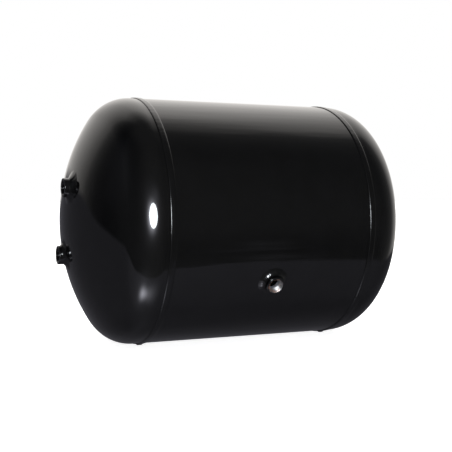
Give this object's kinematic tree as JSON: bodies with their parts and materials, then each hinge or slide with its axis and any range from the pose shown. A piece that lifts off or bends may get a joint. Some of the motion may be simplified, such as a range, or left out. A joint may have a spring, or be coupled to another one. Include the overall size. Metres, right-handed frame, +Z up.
{
  "type": "horizontal pressure tank",
  "caption": "Horizontal steel compressed-air tank: rolled shell, two dished heads, girth welds and threaded bosses, glossy black paint.",
  "frame": {"origin": "middle of the tank's box at its lowest level, where its two girth welds touch a level floor", "axes": "+X along the tank's axis, towards the head that is farther from the viewer in the picture; -Y towards the side with the shell boss; +Z up"},
  "size_m": [0.5702, 0.399, 0.399],
  "materials": {
    "gloss_black_paint": "glossy black paint, even, with a faint orange peel",
    "weld_paint": "glossy black paint over a rippled weld bead",
    "boss_steel": "black paint on the outside of a turned steel boss; bare bright steel in the threaded bore with a trace of rust at its mouth"
  },
  "bodies": {
    "root": {"shell": "gloss_black_paint", "shell_seam_weld": "weld_paint", "left_head": "gloss_black_paint", "left_girth_weld": "weld_paint", "left_upper_boss": "boss_steel", "left_upper_boss_weld": "weld_paint", "left_lower_boss": "boss_steel", "left_lower_boss_weld": "weld_paint", "right_head": "gloss_black_paint", "right_girth_weld": "weld_paint", "right_upper_boss": "boss_steel", "right_upper_boss_weld": "weld_paint", "right_lower_boss": "boss_steel", "right_lower_boss_weld": "weld_paint", "shell_boss": "boss_steel", "shell_boss_weld": "weld_paint"}
  },
  "joints": []
}
